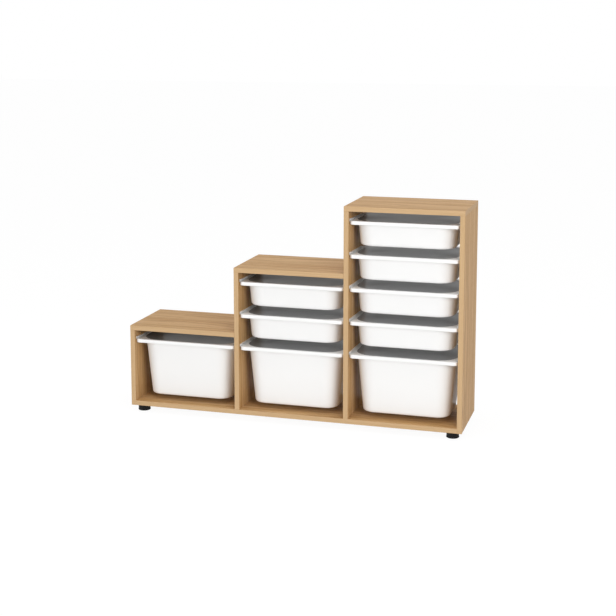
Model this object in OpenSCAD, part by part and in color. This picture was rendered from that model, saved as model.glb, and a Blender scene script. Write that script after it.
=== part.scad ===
// Stepped three-bay storage shelf with nine pull-out boxes that hang by their rims.
// The origin is on the floor, under the middle of the shelf. The front faces -Y.

/* [Carcass] */
// Thickness of every board
board = 19; // [16:0.5:25]
// Bevel along the long edges of the boards
edge_bevel = 0.8; // [0.3:0.1:2]
// Play between the rim of a box and the upright on each side of it
side_play = 2.5; // [1.5:0.5:6]
// Distance from the front edges of the boards back to the rims
front_set = 5; // [2:1:30]
// Distance from the back edges of the boards forward to the rims
back_set = 5; // [4:1:40]
// Free height between the bottom board and a deep box
under_gap = 21; // [10:1:60]
// Free height between a shallow box and the rim under it
stack_gap = 32; // [18:1:60]
// Free height between the rim of the top box and the board over it
head_gap = 37; // [33:1:60]

/* [Boxes] */
// Width of a box over its rim
rim_w = 420; // [390:1:460]
// Depth of a box over its rim, front to back
rim_d = 300; // [270:1:360]
// Height of a deep box
deep_h = 234; // [160:1:300]
// Height of a shallow box
shallow_h = 98; // [60:1:150]
// Plastic thickness of the box
wall = 2.2; // [1.6:0.1:3]
// Lean of the box walls, in degrees
draft = 5.8; // [2:0.1:8]
// Radius of the upright corners of the box at its mouth
mouth_r = 74; // [60:1:88]
// Radius between the walls and the floor of the box
floor_r = 9; // [6:0.5:20]
// Width of the flat top of the rim
rim_land = 12; // [9:0.5:16]
// Thickness of the rim where it hangs on a runner
rim_t = 2.5; // [2:0.1:4]
// Radius of the outer corners of the rim
rim_r = 16; // [8:1:30]
// Height of the turned-down lip at the front and the back of the rim
lip_h = 13.5; // [9:0.5:18]
// Width of the ledge that the lid lies on
lid_ledge = 5; // [4:0.5:10]
// Depth of that ledge below the top of the rim
ledge_drop = 4.5; // [3:0.1:6]

/* [Lids] */
// Thickness of the raised edge of a lid
lid_t = 3.6; // [2.4:0.1:5]
// Width of the raised edge of a lid
lid_edge = 5; // [3:0.5:10]
// Height of the raised edge over the middle of a lid
lid_rise = 1; // [0.4:0.1:1.6]
// Play round a lid in the recess that it lies in
lid_play = 1; // [0.4:0.1:2]
// Depth of the rib under a lid that keeps it in the mouth of the box
lid_rib_h = 5; // [3:0.5:8]
// Thickness of that rib
lid_rib_t = 1.8; // [1.2:0.1:3]

/* [Runners] */
// Thickness of the runner's plastic
runner_t = 2.5; // [1.8:0.1:3.5]
// Thickness of its stiffening webs
runner_web_t = 2; // [1.2:0.1:3]
// Distance between those webs
runner_web_step = 40; // [25:1:80]
// Play between a runner and the box that hangs on it
runner_play = 0.9; // [0.5:0.1:2]

/* [Feet] */
// Diameter of a foot
foot_d = 50; // [36:1:60]
// Height of a foot
foot_h = 26; // [18:1:50]
// Height of the smooth sole and of the smooth collar of a foot
foot_band = 4; // [3:0.5:6]
// Grip flutes round a foot
foot_flutes = 24; // [12:1:32]
// Distance from the outer face of a side to the middle of a foot
foot_in_x = 40; // [32:1:70]
// Distance from the front or back edge to the middle of a foot
foot_in_y = 38; // [32:1:70]

/* [Fasteners] */
// Diameter of a wooden dowel
dowel_d = 8; // [6:1:10]
// Length of a wooden dowel
dowel_l = 30; // [20:1:36]
// Diameter of a cam lock
cam_d = 15; // [12:0.5:18]
// Distance from the joint to the middle of a cam lock
cam_reach = 24; // [20:1:29]
// Distance from the front or back edge to the nearest dowel
dowel_in = 28; // [18:1:45]
// Distance from the front or back edge to the nearest cam lock
cam_in = 62; // [55:1:100]
// Depth to which the screws of the bottom board go into the dividers
base_screw_grip = 29; // [20:1:45]

/* [Hidden] */
$fn = 64;
FRAME = ["side_left", "divider_low", "divider_high", "side_right",
         "bottom_board", "top_low", "top_mid", "top_high"];
RUNNERS = ["runners_low_1",
           "runners_mid_1", "runners_mid_2", "runners_mid_3",
           "runners_high_1", "runners_high_2", "runners_high_3", "runners_high_4", "runners_high_5"];
BOXES = ["box_low_1",
         "box_mid_1", "box_mid_2", "box_mid_3",
         "box_high_1", "box_high_2", "box_high_3", "box_high_4", "box_high_5"];
LIDS = ["lid_low_1",
        "lid_mid_1", "lid_mid_2", "lid_mid_3",
        "lid_high_1", "lid_high_2", "lid_high_3", "lid_high_4", "lid_high_5"];
FEET = ["foot_front_left", "foot_front_right", "foot_back_left", "foot_back_right"];
FASTENERS = ["dowels", "cam_bolts", "cam_locks", "base_screws", "runner_screws", "foot_screws"];

// Hanging levels that each bay has more than the bay to its left
levels_per_step = 2;
// Every place where a box hangs, as its bay and its level counted from the bottom
SLOTS = [for (bay = [0 : 2]) for (level = [0 : bay * levels_per_step]) [bay, level]];

// Clearance between pieces that lie on each other
seat = 0.3;
// Clearance round a dowel, a bolt or a screw in its bore
bore_gap = 0.1;

// The bays, the boards and the levels are as large as the boxes need
bay_w = rim_w + 2 * side_play;
depth = front_set + rim_d + back_set;
pitch = shallow_h + stack_gap;
box_y = front_set + (rim_d - depth) / 2;

// Left face of each upright, and the middle of each bay
function upright_x(i) = (i - 2) * board + (i - 1.5) * bay_w;
function bay_x(i) = upright_x(i) + board + bay_w / 2;

// Heights over the floor
base_z = foot_h;
first_rim_z = base_z + board + under_gap + deep_h;
function rim_z(level) = first_rim_z + level * pitch;
function top_z(i) = rim_z(i * levels_per_step) + head_gap + board;

// Places along the depth, the same at the front and the back
dowel_y = depth / 2 - dowel_in;
cam_y = depth / 2 - cam_in;
foot_y = depth / 2 - foot_in_y;

wood = [0.75, 0.61, 0.45];
white = [0.96, 0.96, 0.95];
dark_grey = [0.42, 0.42, 0.43];
black = [0.09, 0.09, 0.09];
zinc = [0.72, 0.73, 0.74];

// Joints held by cam locks: where the joint is, the turn that points the bolt
// at the board it is screwed into, and the face that the cam lock opens on
CAM_JOINTS = [
    [upright_x(0) + board / 2, top_z(0) - board, 0, 1],
    [upright_x(1), top_z(0) - board / 2, 90, 1],
    [upright_x(1) + board / 2, top_z(1) - board, 0, 1],
    [upright_x(2), top_z(1) - board / 2, 90, 1],
    [upright_x(2) + board / 2, top_z(2) - board, 0, 1],
    [upright_x(3) + board / 2, top_z(2) - board, 0, -1],
    [upright_x(0) + board, base_z + board / 2, -90, -1],
    [upright_x(3), base_z + board / 2, 90, 1]
];

// Shanks, heads and threads of the fasteners
cam_bolt_d = 6;
cam_thread_d = 5;
cam_thread_l = 11;
cam_head_d = 7;
cam_head_l = 3;
cam_h = (board + cam_bolt_d) / 2;
cam_clear = 0.4;
cam_slot = 1.5;
cam_slot_in = 3;
dowel_face_l = 10;
base_screw_d = 5;
base_head_d = 9;
base_head_l = 3;
base_screw_l = board + base_screw_grip;
runner_screw_d = 3;
runner_head_d = 6;
runner_head_l = 1.6;
runner_screw_room = 1;
runner_screw_l = runner_t + board / 2 - runner_screw_room;
foot_screw_d = 4.5;
foot_head_d = 9;
foot_head_l = 2;

// Upright board: its long edges run up the front and the back
module upright(i, bottom, top) {
    translate([upright_x(i), -depth / 2, bottom])
        linear_extrude(top - bottom) bevelled(board, depth);
}

// Level board between two places across the shelf
module level_board(left, right, bottom) {
    translate([left, -depth / 2, bottom]) rotate([90, 0, 90])
        linear_extrude(right - left) bevelled(depth, board);
}

// Board section of a by b, with its four long edges bevelled
module bevelled(a, b) {
    e = edge_bevel;
    polygon([[e, 0], [a - e, 0], [a, e], [a, b - e], [a - e, b], [e, b], [0, b - e], [0, e]]);
}

// Puts a fastener at a joint, with +Z into the board that it is screwed into
module at_joint(joint, y) {
    translate([joint[0], y, joint[1]]) rotate([0, joint[2], 0]) children();
}

module dowel(gap = 0) {
    translate([0, 0, dowel_face_l - dowel_l - gap])
        cylinder(d = dowel_d + 2 * gap, h = dowel_l + 2 * gap);
}

module cam_bolt(gap = 0) {
    cylinder(d = cam_thread_d + 2 * gap, h = cam_thread_l + gap);
    translate([0, 0, -cam_reach]) cylinder(d = cam_bolt_d + 2 * gap, h = cam_reach);
    translate([0, 0, -cam_reach - cam_head_l])
        cylinder(d = cam_head_d + 2 * gap, h = cam_head_l + gap);
}

// Cam lock that opens on the +X or -X face, with the board's middle at x = 0
module cam_body(side, gap = 0) {
    translate([side * board / 2, 0, -cam_reach]) rotate([0, -90 * side, 0])
        cylinder(d = cam_d + 2 * gap, h = cam_h + gap);
}

// What one cam joint needs cut out of its two boards
module cam_joint_bores(joint) {
    for (s = [-1, 1]) {
        at_joint(joint, s * cam_y) {
            cam_bolt(bore_gap);
            cam_body(joint[3], bore_gap);
        }
        at_joint(joint, s * dowel_y) dowel(bore_gap);
    }
}

// What the joint of a divider on the bottom board needs cut out
module base_joint_bores(i) {
    for (s = [-1, 1]) {
        at_joint([upright_x(i) + board / 2, base_z + board, 180], s * dowel_y) dowel(bore_gap);
        translate([upright_x(i) + board / 2, s * cam_y, base_z]) base_screw(bore_gap);
    }
}

module base_screw(gap = 0) {
    cylinder(d1 = base_head_d + 2 * gap, d2 = base_screw_d + 2 * gap, h = base_head_l);
    cylinder(d = base_screw_d + 2 * gap, h = base_screw_l + gap);
}

// Runs its children at both screws of every runner on one face of upright i:
// side 1 is its right face and side -1 its left face
module at_runner_screws(i, side) {
    bay = side > 0 ? i : i - 1;
    for (slot = SLOTS)
        if (slot[0] == bay)
            for (s = [-1, 1])
                translate([side > 0 ? upright_x(i) + board : upright_x(i),
                           box_y + runner_mid_y + s * runner_screw_y,
                           rim_z(slot[1]) + runner_screw_z])
                    rotate([0, side * 90, 0]) children();
}

// Screw of a runner: the runner's back is at z = 0 and the point is below
module runner_screw(gap = 0) {
    translate([0, 0, runner_t - runner_screw_l - gap])
        cylinder(d = runner_screw_d + 2 * gap, h = runner_screw_l + gap);
    translate([0, 0, runner_t - runner_head_l])
        cylinder(d1 = runner_screw_d + 2 * gap, d2 = runner_head_d + 2 * gap, h = runner_head_l);
}

module side_left() {
    color(wood) difference() {
        upright(0, base_z, top_z(0) - board);
        cam_joint_bores(CAM_JOINTS[0]);
        cam_joint_bores(CAM_JOINTS[6]);
        at_runner_screws(0, 1) runner_screw(bore_gap);
    }
}

module divider_low() {
    color(wood) difference() {
        upright(1, base_z + board, top_z(1) - board);
        cam_joint_bores(CAM_JOINTS[1]);
        cam_joint_bores(CAM_JOINTS[2]);
        base_joint_bores(1);
        at_runner_screws(1, -1) runner_screw(bore_gap);
        at_runner_screws(1, 1) runner_screw(bore_gap);
    }
}

module divider_high() {
    color(wood) difference() {
        upright(2, base_z + board, top_z(2) - board);
        cam_joint_bores(CAM_JOINTS[3]);
        cam_joint_bores(CAM_JOINTS[4]);
        base_joint_bores(2);
        at_runner_screws(2, -1) runner_screw(bore_gap);
        at_runner_screws(2, 1) runner_screw(bore_gap);
    }
}

module side_right() {
    color(wood) difference() {
        upright(3, base_z, top_z(2) - board);
        cam_joint_bores(CAM_JOINTS[5]);
        cam_joint_bores(CAM_JOINTS[7]);
        at_runner_screws(3, -1) runner_screw(bore_gap);
    }
}

module bottom_board() {
    color(wood) difference() {
        level_board(upright_x(0) + board, upright_x(3), base_z);
        cam_joint_bores(CAM_JOINTS[6]);
        cam_joint_bores(CAM_JOINTS[7]);
        base_joint_bores(1);
        base_joint_bores(2);
        at_feet() foot_screw(bore_gap);
    }
}

module top_low() {
    color(wood) difference() {
        level_board(upright_x(0), upright_x(1), top_z(0) - board);
        cam_joint_bores(CAM_JOINTS[0]);
        cam_joint_bores(CAM_JOINTS[1]);
    }
}

module top_mid() {
    color(wood) difference() {
        level_board(upright_x(1), upright_x(2), top_z(1) - board);
        cam_joint_bores(CAM_JOINTS[2]);
        cam_joint_bores(CAM_JOINTS[3]);
    }
}

module top_high() {
    color(wood) difference() {
        level_board(upright_x(2), upright_x(3) + board, top_z(2) - board);
        cam_joint_bores(CAM_JOINTS[4]);
        cam_joint_bores(CAM_JOINTS[5]);
    }
}

// Runners: an angle with a level ledge under the rim of the box, stiffening webs,
// and a stop at the back that keeps the box from going in too far. A runner is just
// low enough to hide behind the front lip, and it starts behind the lip's corner.
runner_lip_room = 3;
runner_h = lip_h - rim_t - seat;
runner_w = side_play + rim_land - wall - runner_play;
runner_top = -rim_t - seat;
runner_screw_z = runner_top - (runner_h + runner_t) / 2;
runner_front = -rim_d / 2 + rim_r + runner_lip_room;
runner_back = rim_d / 2 + seat + runner_t;
runner_l = runner_back - runner_front;
runner_mid_y = (runner_front + runner_back) / 2;
runner_screw_in = 38;
runner_screw_y = runner_l / 2 - runner_screw_in;
web_count = floor((runner_l - 2 * runner_t) / runner_web_step);

// One runner on a face at x = 0, looking out along +X, with the rim's top at z = 0
module runner() {
    difference() {
        union() {
            translate([0, runner_front, runner_top - runner_h])
                cube([runner_t, runner_l, runner_h]);
            translate([0, runner_front, runner_top - runner_t])
                cube([runner_w, runner_l, runner_t]);
            translate([0, runner_back - runner_t, runner_top - runner_h])
                cube([runner_w, runner_t, runner_h - runner_top]);
            for (k = [0 : web_count])
                translate([0, runner_front + k * runner_web_step, runner_top - runner_h])
                    runner_web();
        }
        for (s = [-1, 1])
            translate([0, runner_mid_y + s * runner_screw_y, runner_screw_z])
                rotate([0, 90, 0]) runner_screw(bore_gap);
    }
}

// Three-cornered web between the back and the ledge of a runner
module runner_web() {
    translate([0, runner_web_t, 0]) rotate([90, 0, 0]) linear_extrude(runner_web_t)
        polygon([[0, 0], [runner_t, 0], [runner_w, runner_h - runner_t],
                 [runner_w, runner_h - runner_t / 2], [0, runner_h - runner_t / 2]]);
}

module runner_pair(slot) {
    translate([bay_x(slot[0]), box_y, rim_z(slot[1])])
        color(white) for (m = [0, 1])
            mirror([m, 0, 0]) translate([-bay_w / 2, 0, 0]) runner();
}

// Boxes: a drafted tub under a rim with a recess for the lid
mouth_w = rim_w - 2 * (rim_land + lid_ledge);
mouth_d = rim_d - 2 * (rim_land + lid_ledge);
recess_w = rim_w - 2 * rim_land;
recess_d = rim_d - 2 * rim_land;
recess_r = mouth_r - wall + lid_ledge;
back_lip_room = 2;
back_lip_w = bay_w - 2 * (runner_w + runner_play + back_lip_room);

// Flat outline of a rectangle with round corners
module rounded(w, d, r) {
    for (x = [-1, 1], y = [-1, 1]) translate([x * (w / 2 - r), y * (d / 2 - r)]) circle(r);
    square([w - 2 * r, d], center = true);
    square([w, d - 2 * r], center = true);
}

// Half outline of a leaning wall that turns into the floor, from the corner's axis out
module wall_profile(r_top, h, f) {
    r_sharp = r_top - h * tan(draft);
    turn_x = r_sharp + f * tan(draft) - f / cos(draft);
    translate([turn_x, f]) intersection() {
        circle(f);
        translate([0, -f]) square(f);
    }
    polygon([[0, 0], [turn_x, 0], [turn_x, f],
             [turn_x + f * cos(draft), f - f * sin(draft)],
             [r_top, h], [0, h]]);
}

module tub_section(half, r_top, h, f) {
    for (m = [0, 1]) mirror([m, 0]) translate([half, 0]) wall_profile(r_top, h, f);
    translate([-half, 0]) square([2 * half, h]);
}

// Tub with leaning walls: four turned corners and two straight lengths that cross.
// Its corners grow sharper towards the floor, as a drafted moulding's do.
module tub(w, d, r, h, f) {
    cx = w / 2 - r;
    cy = d / 2 - r;
    for (k = [0 : 3])
        rotate(k * 90) translate(k % 2 == 0 ? [cx, cy, 0] : [cy, cx, 0])
            rotate_extrude(angle = 90) wall_profile(r, h, f);
    translate([0, cy, 0]) rotate([90, 0, 0])
        linear_extrude(2 * cy) tub_section(cx, r, h, f);
    rotate([90, 0, 90]) translate([0, 0, -cx])
        linear_extrude(2 * cx) tub_section(cy, r, h, f);
}

// Box of height h, with the top of its rim at z = 0
module tub_box(h) {
    difference() {
        union() {
            translate([0, 0, -h])
                tub(mouth_w + 2 * wall, mouth_d + 2 * wall, mouth_r, h - ledge_drop, floor_r);
            translate([0, 0, -ledge_drop - wall]) linear_extrude(ledge_drop + wall)
                rounded(recess_w + 2 * wall, recess_d + 2 * wall, recess_r + wall);
            translate([0, 0, -rim_t]) linear_extrude(rim_t) rounded(rim_w, rim_d, rim_r);
            translate([0, 0, -lip_h]) linear_extrude(lip_h) front_lip();
            translate([-back_lip_w / 2, rim_d / 2 - rim_t, -lip_h])
                cube([back_lip_w, rim_t, lip_h]);
        }
        translate([0, 0, -ledge_drop]) linear_extrude(2 * ledge_drop)
            rounded(recess_w, recess_d, recess_r);
        translate([0, 0, wall - h]) tub(mouth_w, mouth_d, mouth_r - wall, h, floor_r - wall);
    }
}

// Lip along the front of the rim and round its two corners
module front_lip() {
    difference() {
        rounded(rim_w, rim_d, rim_r);
        rounded(rim_w - 2 * rim_t, rim_d - 2 * rim_t, rim_r - rim_t);
        translate([-rim_w, rim_r - rim_d / 2]) square([2 * rim_w, rim_d]);
    }
}

module box(slot) {
    translate([bay_x(slot[0]), box_y, rim_z(slot[1])])
        color(white) tub_box(slot[1] == 0 ? deep_h : shallow_h);
}

// Lids: a plate with a raised edge, and a rib below that stays in the mouth of the box
lid_w = recess_w - 2 * lid_play;
lid_d = recess_d - 2 * lid_play;
lid_r = recess_r - lid_play;
lid_rib_play = 1.2;

module lid_plate() {
    difference() {
        linear_extrude(lid_t) rounded(lid_w, lid_d, lid_r);
        translate([0, 0, lid_t - lid_rise]) linear_extrude(2 * lid_rise)
            rounded(lid_w - 2 * lid_edge, lid_d - 2 * lid_edge, lid_r - lid_edge);
    }
    translate([0, 0, -lid_rib_h]) linear_extrude(lid_rib_h + lid_t / 4) difference() {
        lid_rib_outline(lid_rib_play);
        lid_rib_outline(lid_rib_play + lid_rib_t);
    }
}

// Outline that follows the mouth of the box, further in by the given distance
module lid_rib_outline(inset) {
    rounded(mouth_w - 2 * inset, mouth_d - 2 * inset, mouth_r - wall - inset);
}

module lid(slot) {
    translate([bay_x(slot[0]), box_y, rim_z(slot[1]) - ledge_drop + seat])
        color(dark_grey) lid_plate();
}

// Feet: a fluted plastic glide held by one screw from below
foot_edge = 2;
foot_waist = 1;
foot_web = 6;
foot_flute_share = 0.4;
foot_flute_d = foot_flute_share * PI * foot_d / foot_flutes;
foot_hollow_d = foot_head_d + 3;

module at_feet(which = [0, 1, 2, 3]) {
    for (k = which)
        translate([(k % 2 == 0 ? upright_x(0) + foot_in_x : upright_x(3) + board - foot_in_x),
                   (k < 2 ? -foot_y : foot_y), 0]) children();
}

module foot_body() {
    difference() {
        union() {
            cylinder(d1 = foot_d - 2 * foot_edge, d2 = foot_d, h = foot_edge);
            translate([0, 0, foot_edge]) cylinder(d = foot_d, h = foot_band - foot_edge);
            translate([0, 0, foot_band]) linear_extrude(foot_h - 2 * foot_band) fluted();
            translate([0, 0, foot_h - foot_band]) cylinder(d = foot_d, h = foot_band);
        }
        translate([0, 0, -foot_web]) cylinder(d = foot_hollow_d, h = foot_h);
        cylinder(d = foot_screw_d + 2 * bore_gap, h = 2 * foot_h);
    }
}

module fluted() {
    difference() {
        circle(d = foot_d - 2 * foot_waist);
        for (k = [1 : foot_flutes])
            rotate(k * 360 / foot_flutes) translate([foot_d / 2 - foot_waist, 0])
                circle(d = foot_flute_d);
    }
}

module foot(k) {
    color(black) at_feet([k]) foot_body();
}

// Screw of a foot, from the inside of its hollow up to the middle of the bottom board
module foot_screw(gap = 0) {
    translate([0, 0, foot_h - foot_web])
        cylinder(d = foot_screw_d + 2 * gap, h = foot_web + board / 2 + gap);
}

module dowels() {
    color(wood) {
        for (joint = CAM_JOINTS, s = [-1, 1]) at_joint(joint, s * dowel_y) dowel();
        for (i = [1, 2], s = [-1, 1])
            at_joint([upright_x(i) + board / 2, base_z + board, 180], s * dowel_y) dowel();
    }
}

module cam_bolts() {
    color(zinc) for (joint = CAM_JOINTS, s = [-1, 1]) at_joint(joint, s * cam_y) cam_bolt();
}

// Each lock is bored through for the bolt and slotted on its face for a screwdriver
module cam_locks() {
    color(zinc) for (joint = CAM_JOINTS, s = [-1, 1])
        at_joint(joint, s * cam_y) difference() {
            cam_body(joint[3]);
            cam_bolt(cam_clear);
            translate([joint[3] * board / 2, 0, -cam_reach])
                cube([cam_slot, cam_d - 2 * cam_slot_in, cam_slot], center = true);
        }
}

module base_screws() {
    color(zinc) for (i = [1, 2], s = [-1, 1])
        translate([upright_x(i) + board / 2, s * cam_y, base_z]) base_screw();
}

module runner_screws() {
    color(zinc) for (i = [0 : 3]) {
        if (i < 3) at_runner_screws(i, 1) runner_screw();
        if (i > 0) at_runner_screws(i, -1) runner_screw();
    }
}

module foot_screws() {
    color(zinc) at_feet() {
        foot_screw();
        translate([0, 0, foot_h - foot_web - foot_head_l])
            cylinder(d = foot_head_d, h = foot_head_l);
    }
}

side_left();
divider_low();
divider_high();
side_right();
bottom_board();
top_low();
top_mid();
top_high();
for (k = [0 : len(SLOTS) - 1]) {
    runner_pair(SLOTS[k]);
    box(SLOTS[k]);
    lid(SLOTS[k]);
}
for (k = [0 : 3])
    foot(k);
dowels();
cam_bolts();
cam_locks();
base_screws();
runner_screws();
foot_screws();
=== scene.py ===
import math

import bpy
from mathutils import Matrix, Vector


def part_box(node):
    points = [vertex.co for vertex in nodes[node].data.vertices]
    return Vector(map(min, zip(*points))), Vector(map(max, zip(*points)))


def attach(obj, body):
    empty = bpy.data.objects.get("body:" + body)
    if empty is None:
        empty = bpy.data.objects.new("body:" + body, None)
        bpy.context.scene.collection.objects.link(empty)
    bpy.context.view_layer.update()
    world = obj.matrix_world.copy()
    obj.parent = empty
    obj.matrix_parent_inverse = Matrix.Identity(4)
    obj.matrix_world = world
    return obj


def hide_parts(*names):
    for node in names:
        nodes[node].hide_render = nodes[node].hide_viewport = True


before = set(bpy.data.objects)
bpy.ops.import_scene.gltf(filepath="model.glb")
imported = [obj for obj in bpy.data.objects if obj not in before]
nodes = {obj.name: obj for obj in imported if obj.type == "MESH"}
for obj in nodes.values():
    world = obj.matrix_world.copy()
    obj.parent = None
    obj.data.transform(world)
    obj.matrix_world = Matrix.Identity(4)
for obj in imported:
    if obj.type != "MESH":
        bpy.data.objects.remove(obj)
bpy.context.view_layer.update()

# The view.
# The shelf is seen from the front, from its high end and a little from above.
# The camera stands about 5 m off at eye height, and its shift sets the shelf where the photograph has it.

eye = bpy.data.cameras.new("eye")
eye.lens = 73.74
eye.sensor_width = 36
eye.shift_y = -0.1672
eye_stand = bpy.data.objects.new("eye", eye)
eye_stand.location = (1.4090, -4.7267, 1.5442)
eye_stand.rotation_euler = (math.radians(90 - 7.989), 0, math.radians(16.303))
bpy.context.scene.collection.objects.link(eye_stand)
bpy.context.scene.camera = eye_stand

# The eight boards.
# Chipboard with a printed light oak foil, and strips of the same oak glued along the front and back edges.
# The grain runs up the uprights and along the level boards. Dowels and cam locks hold them together.


class Wire:
    """A socket in a node tree. A sum that is written on it adds the nodes that work it out."""

    def __init__(self, socket):
        self.socket = socket

    def node(self, kind, settings=None, out=0, **values):
        """Adds a node and gives one of its outputs. A value is named for its socket, or s and its number."""
        tree = self.socket.id_data
        made = tree.nodes.new(kind)
        for key, value in (settings or {}).items():
            setattr(made, key, value)
        for key, value in values.items():
            slot = made.inputs[int(key[1:]) if key[1:].isdigit() else key.replace("_", " ")]
            if isinstance(value, Wire):
                tree.links.new(value.socket, slot)
            else:
                slot.default_value = value
        return Wire(made.outputs[out])

    def maths(self, operation, a, b=0.0):
        return self.node("ShaderNodeMath", {"operation": operation}, s0=a, s1=b)

    def __add__(self, other):
        return self.maths("ADD", self, other)

    def __radd__(self, other):
        return self.maths("ADD", other, self)

    def __sub__(self, other):
        return self.maths("SUBTRACT", self, other)

    def __rsub__(self, other):
        return self.maths("SUBTRACT", other, self)

    def __mul__(self, other):
        return self.maths("MULTIPLY", self, other)

    def __rmul__(self, other):
        return self.maths("MULTIPLY", other, self)

    def __truediv__(self, other):
        return self.maths("DIVIDE", self, other)

    def __rtruediv__(self, other):
        return self.maths("DIVIDE", other, self)

    def axes(self):
        split = self.node("ShaderNodeSeparateXYZ", s0=self).socket.node
        return [Wire(output) for output in split.outputs]

    def joined(self, x, y, z):
        return self.node("ShaderNodeCombineXYZ", s0=x, s1=y, s2=z)


def finish(name):
    """A new material, its shader, and the place on the object as a wire."""
    material = bpy.data.materials.new(name)
    material.use_nodes = True
    tree = material.node_tree
    return material, tree.nodes["Principled BSDF"], Wire(tree.nodes.new("ShaderNodeTexCoord").outputs["Object"])


def noise(place, scale, detail=2.0, rough=0.5):
    return place.node("ShaderNodeTexNoise", Vector=place, Scale=scale, Detail=detail, Roughness=rough)


def above(value, edge, soft):
    """1 where the value is over the edge and 0 under it, with a soft step between."""
    return value.node("ShaderNodeMapRange", {"interpolation_type": "SMOOTHSTEP"},
                      Value=value, From_Min=edge - soft, From_Max=edge + soft)


def tint(share, a, b):
    """Colour a with colour b over it, by that share."""
    return share.node("ShaderNodeMix", {"data_type": "RGBA"}, out=2, s0=share, s6=a, s7=b)


def bumps(height, strength, deep):
    return height.node("ShaderNodeBump", Strength=strength, Distance=deep, Height=height)


def feed(wire, shader, slot):
    wire.socket.id_data.links.new(wire.socket, shader.inputs[slot])


def rgb(red, green, blue):
    """A colour written as on a screen, from 0 to 255, for a shader."""
    linear = [c / 255 / 12.92 if c <= 10 else ((c / 255 + 0.055) / 1.055) ** 2.4 for c in (red, green, blue)]
    return (*linear, 1.0)


def oak(name, upright, lot, ends):
    """The foil and the edge strips of one board. The lot moves the print, so that no two boards match."""
    material, shader, place = finish(name)
    x, depth, z = place.axes()
    along, across = (z, x) if upright else (x, z)
    print_along = along + lot * 1.7
    print_depth = depth + lot * 0.37
    print_across = across + lot * 0.11

    def grained(stretch, fine, detail, rough=0.5):
        spot = place.joined(print_along * stretch, print_depth * fine, print_across * fine)
        return noise(spot, 1.0, detail, rough)

    drift = grained(1.1, 5.0, 3.0)
    rings = place.maths("SINE", print_depth * 190.0 + print_across * 110.0 + drift * 46.0)
    figure = grained(0.9, 26.0, 4.0, 0.6)
    fibre = grained(14.0, 420.0, 3.0, 0.6)
    pores = above(grained(34.0, 900.0, 1.0), 0.64, 0.04)
    flecks = above(grained(9.0, 70.0, 1.0), 0.66, 0.05)
    light, middle, deep = rgb(216, 179, 132), rgb(190, 149, 98), rgb(156, 113, 66)
    foil = tint(above(figure, 0.5, 0.22), middle, light)
    foil = tint(above(rings, 0.75, 0.45) * (0.20 + figure * 0.6), foil, deep)
    foil = tint(fibre * 0.30, foil, deep)
    foil = tint(flecks * 0.16, foil, light)
    foil = tint(pores * 0.34, foil, rgb(145, 106, 65))
    strip = tint(above(noise(place.joined(print_along * 3.0, 0.0, print_across * 240.0), 1.0, 2.0), 0.5, 0.3),
                 rgb(206, 174, 135), rgb(195, 163, 122))
    strip = tint(fibre * 0.22, strip, rgb(184, 150, 108))
    strip_from, seam_at = 0.1543, 0.1540
    from_middle = place.maths("ABSOLUTE", depth)
    foil = tint(above(from_middle, strip_from, 0.0003), foil, strip)
    seam = 1.0 - above(place.maths("ABSOLUTE", from_middle - seam_at), 0.00018, 0.00010)
    foil = tint(seam * 0.4, foil, rgb(148, 112, 74))
    if not upright:
        low, high = ends
        cut = above(place.maths("ABSOLUTE", along - (low + high) / 2), (high - low) / 2 - 0.0004, 0.0002)
        crossed = noise(place.joined(print_depth * 14.0, 0.0, print_across * 420.0), 1.0, 3.0)
        foil = tint(cut, foil, tint(crossed, rgb(205, 173, 134), rgb(181, 146, 104)))
    feed(foil, shader, "Base Color")
    feed(fibre * 0.14 + pores * 0.1 + 0.38, shader, "Roughness")
    feed(bumps(fibre * 0.5 - pores, 0.3, 0.00012), shader, "Normal")
    shader.inputs["Specular IOR Level"].default_value = 0.05
    return material


def wear(piece, material):
    """Gives a piece one finish all over."""
    piece.data.materials.clear()
    piece.data.materials.append(material)


for lot, (board, upright) in enumerate([
        ("side_left", True), ("divider_low", True), ("divider_high", True), ("side_right", True),
        ("bottom_board", False), ("top_low", False), ("top_mid", False), ("top_high", False)]):
    low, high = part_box(board)
    wear(nodes[board], oak("oak_" + board, upright, lot, (low.x, high.x)))

# The dowels, the cam bolts and the cam locks.
# Beech dowels place the boards. Zinc-plated bolts, pulled by locks that turn in their bores, hold them.
# A round cover of oak foil is stuck over each lock.


def plated_zinc():
    material, shader, place = finish("plated_zinc")
    cloud = noise(place, 90.0, 3.0)
    brush = noise(place, 700.0)
    feed(tint(cloud, rgb(176, 178, 182), rgb(206, 208, 210)), shader, "Base Color")
    feed(brush * 0.2 + 0.26, shader, "Roughness")
    feed(bumps(brush, 0.15, 0.0001), shader, "Normal")
    shader.inputs["Metallic"].default_value = 1.0
    return material


def turned_beech():
    material, shader, place = finish("turned_beech")
    grain = noise(place, 420.0, 3.0)
    feed(tint(grain, rgb(206, 170, 124), rgb(226, 196, 154)), shader, "Base Color")
    feed(grain * 0.2 + 0.5, shader, "Roughness")
    return material


zinc = plated_zinc()
for part in ("cam_bolts", "cam_locks"):
    wear(nodes[part], zinc)
wear(nodes["dowels"], turned_beech())


def recipe(name, sizes):
    """A new tree that makes a mesh from a table of points. Gives its named ways in as wires."""
    tree = bpy.data.node_groups.new(name, "GeometryNodeTree")
    tree.interface.new_socket("Mesh", in_out="OUTPUT", socket_type="NodeSocketGeometry")
    for label, kind in {"Table": "Geometry", **sizes, "Finish": "Material"}.items():
        tree.interface.new_socket(label, in_out="INPUT", socket_type="NodeSocket" + kind)
    return {socket.name: Wire(socket) for socket in tree.nodes.new("NodeGroupInput").outputs}


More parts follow.
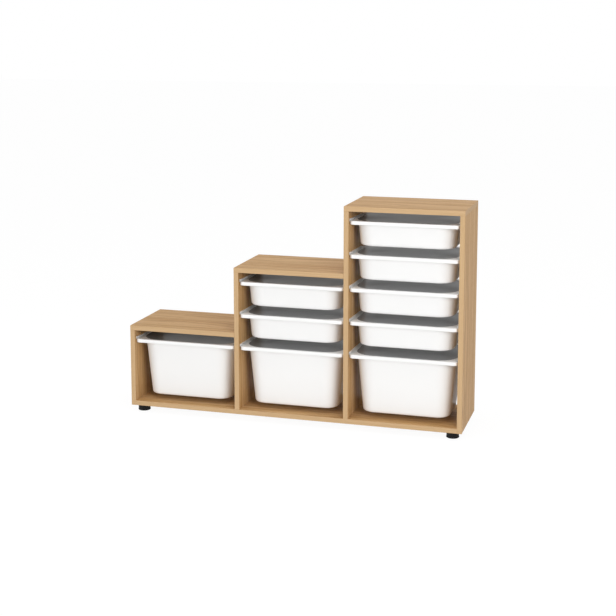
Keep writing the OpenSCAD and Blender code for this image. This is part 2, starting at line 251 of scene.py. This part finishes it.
def skin(table, around):
    """A sheet of one row for each point of the table and the given columns, with its seam and ends open."""
    rows = table.node("GeometryNodeAttributeDomainSize", Geometry=table)
    sheet = table.node("GeometryNodeMeshGrid", Size_X=1.0, Size_Y=1.0, Vertices_X=around + 1, Vertices_Y=rows)
    x, y, _ = table.node("GeometryNodeInputPosition").axes()
    column = table.maths("ROUND", (x + 0.5) * around)
    row = table.maths("ROUND", (y + 0.5) * (rows - 1))

    def listed(label):
        value = table.node("GeometryNodeInputNamedAttribute", Name=label)
        return table.node("GeometryNodeSampleIndex", Geometry=table, Value=value, Index=row)

    return sheet, column, listed


def closed(sheet, position):
    """The sheet bent to its shape, with its seam and its poles closed."""
    weld = 0.000001
    bent = sheet.node("GeometryNodeSetPosition", Geometry=sheet, Position=position)
    return sheet.node("GeometryNodeMergeByDistance", Geometry=bent, Distance=weld)


def served(shape, material):
    """Ends a recipe: what is repeated becomes real, and wears its finish."""
    whole = shape.node("GeometryNodeRealizeInstances", Geometry=shape)
    whole = shape.node("GeometryNodeSetMaterial", Geometry=whole, Material=material)
    tree = shape.socket.id_data
    tree.links.new(whole.socket, tree.nodes.new("NodeGroupOutput").inputs[0])
    return tree


def points(name, rows, labels):
    """A mesh of loose points, each with a named value for every label."""
    mesh = bpy.data.meshes.new(name)
    mesh.vertices.add(len(rows))
    for k, label in enumerate(labels):
        column = mesh.attributes.new(label, "FLOAT", "POINT").data
        for value, row in zip(column, rows):
            value.value = row[k]
    return mesh


def stood(name, spots):
    """An object of loose points at those spots."""
    marks = points(name, spots, ())
    marks.vertices.foreach_set("co", [c for spot in spots for c in spot])
    return bpy.data.objects.new(name, marks)


def cooked(name, tree, table, **sizes):
    """Runs a recipe on a table of points, and gives the plain piece that comes out."""
    crease = math.radians(38)
    piece = bpy.data.objects.new(name, table)
    bpy.context.scene.collection.objects.link(piece)
    maker = piece.modifiers.new("maker", "NODES")
    maker.node_group = tree
    for socket in tree.interface.items_tree:
        if socket.in_out == "INPUT" and socket.name.replace(" ", "_") in sizes:
            maker[socket.identifier] = sizes[socket.name.replace(" ", "_")]
    made = bpy.data.meshes.new_from_object(piece.evaluated_get(bpy.context.evaluated_depsgraph_get()))
    piece.modifiers.remove(maker)
    piece.data = made
    made.name = name
    made.shade_smooth()
    made.set_sharp_from_angle(angle=crease)
    return piece


def turning():
    """Turned shapes set at places. A wave round the shape cuts flutes into it, or a cross into a head."""
    ways = recipe("turned_and_set", {"Columns": "Int", "Lobes": "Int", "Places": "Object"})
    sheet, column, listed = skin(ways["Table"], ways["Columns"])
    angle = column / ways["Columns"] * math.tau
    wave = column.maths("MAXIMUM", column.maths("COSINE", angle * ways["Lobes"]), 0.0)
    radius = listed("radius") - listed("bite") * wave
    height = listed("height") - listed("sink") * wave
    turned = closed(sheet, column.joined(radius * column.maths("COSINE", angle),
                                         radius * column.maths("SINE", angle), height))
    spots = turned.node("GeometryNodeObjectInfo", out=4, Object=ways["Places"])
    aim = turned.node("GeometryNodeInputNamedAttribute", {"data_type": "FLOAT_VECTOR"}, Name="aim")
    facing = turned.node("FunctionNodeAlignRotationToVector", Vector=aim)
    return served(turned.node("GeometryNodeInstanceOnPoints", Points=spots, Instance=turned, Rotation=facing),
                  ways["Finish"])


turned_and_set = turning()


def set_round(name, profile, places, material, columns=32, lobes=4):
    """One piece of many turned shapes. A row of the profile is radius, height, bite and sink, in metres."""
    marks = stood("places", [spot for spot, aim in places])
    marks.data.attributes.new("aim", "FLOAT_VECTOR", "POINT").data.foreach_set(
        "vector", [c for spot, aim in places for c in aim])
    table = points(name, profile, ("radius", "height", "bite", "sink"))
    piece = cooked(name, turned_and_set, table, Columns=columns, Lobes=lobes, Places=marks, Finish=material)
    bpy.data.objects.remove(marks)
    return piece


lock_in, lock_reach = 0.062, 0.024
locks = []
for board, face, aim in (("side_left", 1, 1), ("divider_low", 1, 1), ("divider_high", 1, 1),
                         ("side_right", 0, -1)):
    low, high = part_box(board)
    for y in (low.y + lock_in, high.y - lock_in):
        locks.append((((low.x, high.x)[face], y, high.z - lock_reach), (aim, 0, 0)))
for board, left, right in (("bottom_board", True, True), ("top_low", False, True), ("top_mid", False, True)):
    low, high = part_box(board)
    for x, here in ((low.x + lock_reach, left), (high.x - lock_reach, right)):
        for y in (low.y + lock_in, high.y - lock_in):
            if here:
                locks.append(((x, y, low.z), (0, 0, -1)))
cover_r, cover_t = 0.0088, 0.0003
cover_profile = [(0, 0, 0, 0), (cover_r - 0.0002, 0, 0, 0), (cover_r, 0.0001, 0, 0),
                 (cover_r - 0.0002, cover_t - 0.00005, 0, 0), (0, cover_t, 0, 0)]
covers = set_round("lock_covers", cover_profile, locks, oak("oak_lock_cover", True, 9, (0, 1)))
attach(covers, "shelf")

# The runners.
# White moulded angles, one on each side of a box, with small webs under a level ledge.
# The rim of the box rides on the ledge, and a stop at the back ends its way in.


def moulded(name, shade, rough):
    """White plastic with the faint flow and orange peel of a moulding."""
    material, shader, place = finish(name)
    flow = noise(place, 7.0)
    dust = noise(place, 60.0, 4.0, 0.6)
    peel = noise(place, 520.0)
    pale, dim = rgb(shade, shade, shade - 1), rgb(shade - 5, shade - 5, shade - 5)
    feed(tint(flow * 0.5, pale, dim), shader, "Base Color")
    feed(dust * 0.10 + rough, shader, "Roughness")
    feed(bumps(peel, 0.05, 0.0002), shader, "Normal")
    shader.inputs["IOR"].default_value = 1.49
    return material


runner_white = moulded("runner_white", 238, 0.37)
hangers = [node for node in nodes if node.startswith("runners_")]
for hanger in hangers:
    wear(nodes[hanger], runner_white)


def barring():
    """Bars from front to back at places. Their section goes over from a front height to a back height.

    Each end is a pole, then a ring that is drawn in, then the whole section.
    """
    ways = recipe("bar_and_set", {"Front": "Float", "Back": "Float", "End Round": "Float", "Heart": "Vector",
                                  "Places": "Object"})
    last, ring = 5, 0.9
    sheet, column, listed = skin(ways["Table"], last)
    from_end = column.maths("MINIMUM", column, last - column)
    past_ring = column.maths("MAXIMUM", from_end - 1.0, 0.0)
    whole = column.maths("MINIMUM", from_end, 1.0) * ring + past_ring * (1.0 - ring)
    inward = past_ring * ways["End Round"]
    at_back = column.maths("GREATER_THAN", column, last / 2)
    y = (ways["Front"] + inward) * (1.0 - at_back) + (ways["Back"] - inward) * at_back
    heart_x, heart_front, heart_back = ways["Heart"].axes()
    height = listed("front_height") * (1.0 - at_back) + listed("back_height") * at_back
    heart = heart_front * (1.0 - at_back) + heart_back * at_back
    bar = closed(sheet, column.joined(heart_x + (listed("across") - heart_x) * whole, y,
                                      heart + (height - heart) * whole))
    spots = bar.node("GeometryNodeObjectInfo", out=4, Object=ways["Places"])
    return served(bar.node("GeometryNodeInstanceOnPoints", Points=spots, Instance=bar), ways["Finish"])


bar_and_set = barring()

# Over each rim the runner has a guide that keeps a drawn box from tipping. It stands on the ledge,
# 2.8 mm under the top of the rim, and comes down towards the back.
guide_plate, guide_w, guide_t, guide_foot = 0.0013, 0.008, 0.0016, -0.0028
guide_round, guide_end_round = 0.0004, 0.0006
guide_front, guide_back, guide_rise, guide_end_rise = -0.140, 0.050, 0.0082, 0.0024
for name, side in (("guides_left", 1), ("guides_right", -1)):
    section = []
    for across, low_edge, drop in ((0, True, 0), (guide_plate, True, 0), (guide_plate, False, guide_t),
                                   (guide_w - guide_round, False, guide_t),
                                   (guide_w, False, guide_t - guide_round), (guide_w, False, guide_round),
                                   (guide_w - guide_round, False, 0), (0, False, 0), (0, True, 0)):
        heights = (guide_foot, guide_foot) if low_edge else (guide_rise - drop, guide_end_rise - drop)
        section.append((side * across, *heights))
    if side < 0:
        section.reverse()
    marks = []
    for hanger in hangers:
        low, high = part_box(hanger)
        rim_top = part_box(hanger.replace("runners_", "box_"))[1].z
        marks.append((low.x if side > 0 else high.x, 0, rim_top))
    places = stood("places", marks)
    heart = (side * guide_plate / 2, guide_rise - guide_t / 2, guide_end_rise - guide_t / 2)
    guides = cooked(name, bar_and_set, points(name, section, ("across", "front_height", "back_height")),
                    Front=guide_front, Back=guide_back, End_Round=guide_end_round, Heart=heart, Places=places,
                    Finish=runner_white)
    bpy.data.objects.remove(places)
    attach(guides, "shelf")

# The screws.
# Zinc-plated, with a cross for the driver: two in each runner, four up through the bottom board
# into the dividers, and one in the hollow of each foot.


def screw_profile(head_r, head_h, shank_r, length, sunk):
    """A screw that points down from 0, where its head ends. A sunk head is a cone, and the other a button."""
    top = 0.0 if sunk else head_h
    cross = 0.55 * head_h
    crown = [(0, top - cross, 0, 0), (head_r * 0.12, top - cross, 0, 0), (head_r * 0.16, top, 0, cross),
             (head_r * 0.46, top, 0, cross), (head_r * 0.56, top, 0, 0), (head_r * 0.9, top - 0.0001, 0, 0),
             (head_r, top - 0.0003, 0, 0)]
    neck = [(shank_r, top - head_h, 0, 0)] if sunk else [(head_r, 0.0002, 0, 0), (shank_r, 0, 0, 0)]
    point = [(shank_r, 2 * shank_r - length, 0, 0), (0, -length, 0, 0)]
    return [(r, z, bite, sink) for r, z, bite, sink in reversed(crown + neck + point)]


runner_screw_in, runner_screw_up = 0.038, 0.0041
runner_t = 0.0025
in_runners = []
for hanger in hangers:
    low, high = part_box(hanger)
    for y in (low.y + runner_screw_in, high.y - runner_screw_in):
        in_runners.append(((low.x + runner_t, y, low.z + runner_screw_up), (1, 0, 0)))
        in_runners.append(((high.x - runner_t, y, low.z + runner_screw_up), (-1, 0, 0)))
low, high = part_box("bottom_board")
in_dividers = [((sum(c.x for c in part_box(board)) / 2, y, low.z), (0, 0, -1))
               for board in ("divider_low", "divider_high") for y in (low.y + lock_in, high.y - lock_in)]
foot_web = 0.006
in_feet = []
feet = ["foot_front_left", "foot_front_right", "foot_back_left", "foot_back_right"]
for foot in feet:
    low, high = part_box(foot)
    in_feet.append((((low.x + high.x) / 2, (low.y + high.y) / 2, high.z - foot_web), (0, 0, -1)))
for name, node, profile, spots in (
        ("runner_screw_set", "runner_screws", screw_profile(
            head_r=0.003, head_h=0.0016, shank_r=0.0015, length=0.011, sunk=True), in_runners),
        ("divider_screw_set", "base_screws", screw_profile(
            head_r=0.0045, head_h=0.003, shank_r=0.0025, length=0.048, sunk=True), in_dividers),
        ("foot_screw_set", "foot_screws", screw_profile(
            head_r=0.0045, head_h=0.002, shank_r=0.00225, length=0.0155, sunk=False), in_feet)):
    screws = set_round(name, profile, spots, zinc)
    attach(screws, "shelf")
    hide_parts(node)

# The boxes.
# One white moulding each: a leaning tub with round corners, a rim with a lip at the front and the back,
# and a ledge for the lid. Each hangs on its runners by the rim and draws out to the front.


def lofting():
    """Rings round a box or a lid. Each has its inset from the rim, its height and its corner radius."""
    ways = recipe("round_cornered_loft", {
        "Width": "Float", "Depth": "Float", "Corner Steps": "Int", "Corner Lead": "Float",
        "Lip Root": "Float", "Front Lip To": "Float", "Back Lip To": "Float"})
    quarter = ways["Corner Steps"] + 3
    sheet, column, listed = skin(ways["Table"], quarter * 4)
    most, least = (lambda a, b: column.maths("MAXIMUM", a, b)), (lambda a, b: column.maths("MINIMUM", a, b))
    turn = column.maths("FLOOR", column / quarter)
    step = column - turn * quarter - 1
    arc = most(least(step, ways["Corner Steps"]), 0.0)
    angle = (turn + arc / ways["Corner Steps"]) * (math.pi / 2)
    diagonal = turn * (math.pi / 2) + math.pi / 4
    inset, corner = listed("inset"), listed("corner")
    half_w = ways["Width"] / 2 - inset - corner
    half_d = ways["Depth"] / 2 - inset - corner
    past = (step - arc) * least(half_d, ways["Corner Lead"])
    side = column.maths("COSINE", angle)
    front = column.maths("SINE", angle)
    x = column.maths("SIGN", column.maths("COSINE", diagonal)) * half_w + corner * side - past * front
    y = column.maths("SIGN", column.maths("SINE", diagonal)) * half_d + corner * front + past * side
    at_front = column.maths("LESS_THAN", y, ways["Front Lip To"])
    at_back = column.maths("LESS_THAN", column.maths("ABSOLUTE", x), ways["Back Lip To"]) * column.maths(
        "GREATER_THAN", y, 0.0)
    no_lip = listed("lip") * (1.0 - most(at_front, at_back))
    z = listed("height")
    z = z + no_lip * (ways["Lip Root"] - z)
    return served(closed(sheet, column.joined(x, y, z)), ways["Finish"])


round_cornered_loft = lofting()

rim_w, rim_d, rim_r, rim_t, lip_h = 0.420, 0.300, 0.016, 0.0025, 0.0135
land, ledge, ledge_drop, wall = 0.012, 0.005, 0.0045, 0.0022
mouth_r, floor_r, lean = 0.074, 0.009, math.radians(5.8)
recess_r = mouth_r - wall + ledge
corner_steps, corner_lead = 12, 0.002


def leaning(inset, corner, top, floor, turn_r):
    """Rings down a leaning wall and round its turn into the floor, which ends on the middle line."""
    rings, turn_steps = [], 8
    for z in (top, top - 0.004, top - 0.02, (top + floor) / 2, floor + turn_r * 1.3):
        step_in = (top - z) * math.tan(lean)
        rings.append((inset + step_in, z, corner - step_in, 0))
    sharp = corner - (top - floor) * math.tan(lean)
    centre = sharp + turn_r * math.tan(lean) - turn_r / math.cos(lean)
    for k in range(turn_steps + 1):
        a = lean + (math.pi / 2 - lean) * k / turn_steps
        r = centre + turn_r * math.cos(a)
        rings.append((inset + corner - r, floor + turn_r - turn_r * math.sin(a), r, 0))
    return rings


def box_rings(h):
    """The section of a box from the middle of its underside, over the rim, to the middle of its floor.

    The tenths of a millimetre round its edges, and the floor stands on a low ring.
    """
    outside = leaning(land + ledge - wall, mouth_r, -ledge_drop, -h, floor_r)
    inside = leaning(land + ledge, mouth_r - wall, wall, wall - h, floor_r - wall)
    under = -ledge_drop - wall
    outside = [ring for ring in outside if ring[1] < under - 0.001]
    inside = [ring for ring in inside if ring[1] < -ledge_drop - 0.001]
    wall_out = land + ledge - wall + wall * math.tan(lean)
    wall_in = land + ledge + (wall + ledge_drop) * math.tan(lean)
    collar = land - wall
    inset, _, corner, _ = outside[-1]
    sole_in, sole_rise = 0.006, 0.001
    rings = [(rim_d / 2, sole_rise - h, 0, 0), (inset + sole_in, sole_rise - h, corner - sole_in, 0),
             (inset + sole_in - 0.001, sole_rise - 0.0002 - h, corner - sole_in + 0.001, 0),
             (inset + sole_in - 0.002, -h, corner - sole_in + 0.002, 0)]
    rings += reversed(outside)
    rings += [(wall_out, under - 0.0006, mouth_r, 0), (wall_out - 0.0006, under, mouth_r + 0.0006, 0)]
    rings += [(collar + 0.0005, under, recess_r + wall, 0), (collar, under + 0.0005, recess_r + wall, 0)]
    rings += [(collar, -rim_t - 0.0004, recess_r + wall, 0), (collar - 0.0004, -rim_t, recess_r + wall, 0)]
    rings += [(rim_t + 0.0004, -rim_t, rim_r - rim_t, 1), (rim_t, -rim_t - 0.0004, rim_r - rim_t, 1)]
    rings += [(rim_t, 0.0008 - lip_h, rim_r - rim_t, 1), (rim_t - 0.0008, -lip_h, rim_r - rim_t, 1)]
    rings += [(0.0008, -lip_h, rim_r - 0.0008, 1), (0.0002, 0.0003 - lip_h, rim_r - 0.0002, 1)]
    rings += [(0, 0.0010 - lip_h, rim_r, 1)]
    rings += [(0, -0.0013, rim_r, 0), (0.0002, -0.0006, rim_r, 0)]
    rings += [(0.0006, -0.0002, rim_r, 0), (0.0013, 0, rim_r, 0)]
    rings += [(land - 0.0010, 0, recess_r + 0.0010, 0), (land - 0.0004, -0.0001, recess_r + 0.0004, 0)]
    rings += [(land - 0.0001, -0.0004, recess_r, 0), (land, -0.0010, recess_r, 0)]
    rings += [(land, 0.0005 - ledge_drop, recess_r, 0), (land + 0.0005, -ledge_drop, recess_r - 0.0005, 0)]
    rings += [(wall_in - 0.0012, -ledge_drop, mouth_r - wall + 0.0012, 0)]
    rings += [(wall_in - 0.0004, -ledge_drop - 0.0003, mouth_r - wall + 0.0004, 0)]
    rings += [(wall_in, -ledge_drop - 0.0011, mouth_r - wall, 0)]
    return rings + inside + [(rim_d / 2, wall - h, 0, 0)]


def lofted(name, rings, material, node, zero):
    """A lofted piece over the middle of its CAD node, with its height 0 at the given height."""
    low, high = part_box(node)
    table = points(name, rings, ("inset", "height", "corner", "lip"))
    piece = cooked(name, round_cornered_loft, table, Width=rim_w, Depth=rim_d, Corner_Steps=corner_steps,
                   Corner_Lead=corner_lead, Lip_Root=-rim_t, Front_Lip_To=rim_r + corner_lead / 2 - rim_d / 2,
                   Back_Lip_To=rim_w / 2 - rim_r - corner_lead / 2, Finish=material)
    piece.data.transform(Matrix.Translation(((low.x + high.x) / 2, (low.y + high.y) / 2, zero)))
    return piece


box_white = moulded("box_white", 244, 0.30)
for node in [node for node in nodes if node.startswith("box_")]:
    low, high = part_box(node)
    tub = lofted(node.replace("box_", "tub_"), box_rings(high.z - low.z), box_white, node, high.z)
    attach(tub, node + "_body")
    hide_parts(node)

# The lids.
# Dark grey mouldings with a fine matt grain. Each lies loose on the ledge in the rim of its box,
# and a rib under it keeps it from sliding off.

lid_play, lid_t, lid_edge, lid_rise = 0.001, 0.0036, 0.005, 0.001
lid_rib_play, lid_rib_h, lid_rib_t = 0.0012, 0.005, 0.0018


def lid_rings():
    """The section of a lid from the middle of its underside, round its edge, to the middle of its top."""
    rib, rib_r = land + ledge + lid_rib_play, mouth_r - wall - lid_rib_play
    side, side_r = land + lid_play, recess_r - lid_play
    rim, rim_in = side + lid_edge, side_r - lid_edge
    floor = lid_t - lid_rise
    rib_in, rib_in_r = rib + lid_rib_t, rib_r - lid_rib_t
    rings = [(rim_d / 2, 0, 0), (rib_in + 0.0005, 0, rib_in_r), (rib_in, -0.0005, rib_in_r)]
    rings += [(rib_in, 0.0004 - lid_rib_h, rib_in_r), (rib_in - 0.0004, -lid_rib_h, rib_in_r)]
    rings += [(rib + 0.0004, -lid_rib_h, rib_r), (rib, 0.0004 - lid_rib_h, rib_r)]
    rings += [(rib, -0.0004, rib_r), (rib - 0.0004, 0, rib_r)]
    rings += [(side + 0.0005, 0, side_r), (side, 0.0005, side_r)]
    rings += [(side, lid_t - 0.0012, side_r), (side + 0.0002, lid_t - 0.0005, side_r)]
    rings += [(side + 0.0006, lid_t - 0.0001, side_r), (side + 0.0013, lid_t, side_r - 0.0005)]
    rings += [(rim - 0.0014, lid_t, rim_in + 0.0014), (rim - 0.0005, lid_t - 0.0002, rim_in + 0.0005)]
    rings += [(rim + 0.0005, floor + 0.0002, rim_in), (rim + 0.0014, floor, rim_in - 0.0009)]
    return [(*ring, 0) for ring in rings + [(rim_d / 2, floor, 0)]]


def matt_grey():
    material, shader, place = finish("matt_grey")
    grain = noise(place, 1500.0, 2.0, 0.6)
    cloud = noise(place, 9.0, 3.0)
    shade = tint(cloud, rgb(124, 124, 125), rgb(132, 132, 133))
    feed(tint(grain * 0.3, shade, rgb(108, 108, 109)), shader, "Base Color")
    feed(grain * 0.14 + 0.26, shader, "Roughness")
    feed(bumps(grain, 0.2, 0.0002), shader, "Normal")
    shader.inputs["Specular IOR Level"].default_value = 0.15
    return material


lid_grey = matt_grey()
for node in [node for node in nodes if node.startswith("lid_")]:
    lid = lofted(node.replace("lid_", "cover_"), lid_rings(), lid_grey, node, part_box(node)[0].z + lid_rib_h)
    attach(lid, node + "_body")
    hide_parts(node)

# The feet.
# Black moulded glides, 50 mm across, with a smooth sole and collar and grip flutes between them.
# One screw in the hollow holds each under the bottom board.


def matt_black():
    material, shader, place = finish("matt_black")
    grain = noise(place, 1300.0)
    feed(tint(grain, rgb(14, 14, 14), rgb(22, 22, 22)), shader, "Base Color")
    feed(grain * 0.2 + 0.45, shader, "Roughness")
    feed(bumps(grain, 0.2, 0.0002), shader, "Normal")
    shader.inputs["Specular IOR Level"].default_value = 0.2
    return material


foot_h, foot_r, band, waist, flute = 0.026, 0.025, 0.004, 0.001, 0.0013
hollow_r, bore_r, flutes = 0.006, 0.00235, 24
foot_profile = [
    (bore_r, foot_h - foot_web, 0, 0), (hollow_r - 0.0004, foot_h - foot_web, 0, 0),
    (hollow_r, foot_h - foot_web - 0.0004, 0, 0), (hollow_r, 0.0006, 0, 0), (hollow_r + 0.0006, 0, 0, 0),
    (foot_r - 0.0026, 0, 0, 0), (foot_r - 0.0016, 0.0002, 0, 0), (foot_r - 0.0006, 0.0009, 0, 0),
    (foot_r, 0.0022, 0, 0), (foot_r, band - 0.0004, 0, 0), (foot_r - 0.0003, band, 0, 0),
    (foot_r - waist, band + 0.0001, 0, 0), (foot_r - waist, band + 0.0003, flute, 0),
    (foot_r - waist, foot_h - band - 0.0003, flute, 0), (foot_r - waist, foot_h - band - 0.0001, 0, 0),
    (foot_r - 0.0003, foot_h - band, 0, 0), (foot_r, foot_h - band + 0.0004, 0, 0),
    (foot_r, foot_h - 0.0004, 0, 0), (foot_r - 0.0004, foot_h, 0, 0), (bore_r, foot_h, 0, 0),
    (bore_r, foot_h - foot_web, 0, 0)]
foot_spots = [((spot[0], spot[1], 0), (0, 0, 1)) for spot, aim in in_feet]
glides = set_round("foot_set", foot_profile, foot_spots, matt_black(), columns=flutes * 8, lobes=flutes)
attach(glides, "shelf")
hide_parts(*feet)

# The floor and the light.
# A white floor in a white room, with a soft lamp to the left, a stronger one to the right and one overhead.
# The camera sees floor and room plain white, straight and in a shine, but they give only half that light.

stage_white, reach = (1, 1, 1, 1), 30
ground = bpy.data.meshes.new("floor")
ground.from_pydata([(-reach, -reach, 0), (reach, -reach, 0), (reach, reach, 0), (-reach, reach, 0)],
                   [], [(0, 1, 2, 3)])
floor = bpy.data.objects.new("floor", ground)
bpy.context.scene.collection.objects.link(floor)


def looked_at(wire):
    """1 for what the camera sees, straight or in a shine, and 0 for what only gives light."""
    ray = wire.node("ShaderNodeLightPath").socket.node
    seen = [Wire(ray.outputs[label]) for label in ("Is Camera Ray", "Is Glossy Ray", "Is Transmission Ray")]
    return wire.maths("MAXIMUM", seen[0], wire.maths("MAXIMUM", seen[1], seen[2]))


material, shader, place = finish("white_floor")
shader.inputs["Base Color"].default_value = (0.8, 0.8, 0.8, 1)
shader.inputs["Roughness"].default_value = 0.9
glow = place.node("ShaderNodeEmission", Color=stage_white, Strength=1.05)
shown = place.node("ShaderNodeMixShader", s0=looked_at(place) * 0.9, s1=Wire(shader.outputs[0]), s2=glow)
feed(shown, material.node_tree.nodes["Material Output"], "Surface")
ground.materials.append(material)

shelf_middle = Vector((0, 0, 0.4))
for name, power, spot in (("left_lamp", 58, (-2.5, -4.5, 1.2)), ("right_lamp", 92, (3.3, -3.8, 1.9)),
                          ("top_lamp", 42, (0, -0.8, 4.2))):
    light = bpy.data.lights.new(name, "AREA")
    light.shape = "SQUARE"
    light.size = 2.0
    light.energy = power
    lamp = bpy.data.objects.new(name, light)
    lamp.location = spot
    lamp.rotation_euler = (shelf_middle - lamp.location).to_track_quat("-Z", "Y").to_euler()
    bpy.context.scene.collection.objects.link(lamp)

room = bpy.data.worlds.new("room")
room.use_nodes = True
sky = room.node_tree.nodes["Background"]
sky.inputs["Color"].default_value = stage_white
feed(looked_at(Wire(sky.outputs[0])) * 0.5 + 0.5, sky, "Strength")
bpy.context.scene.world = room
bpy.context.scene.view_settings.view_transform = "Standard"
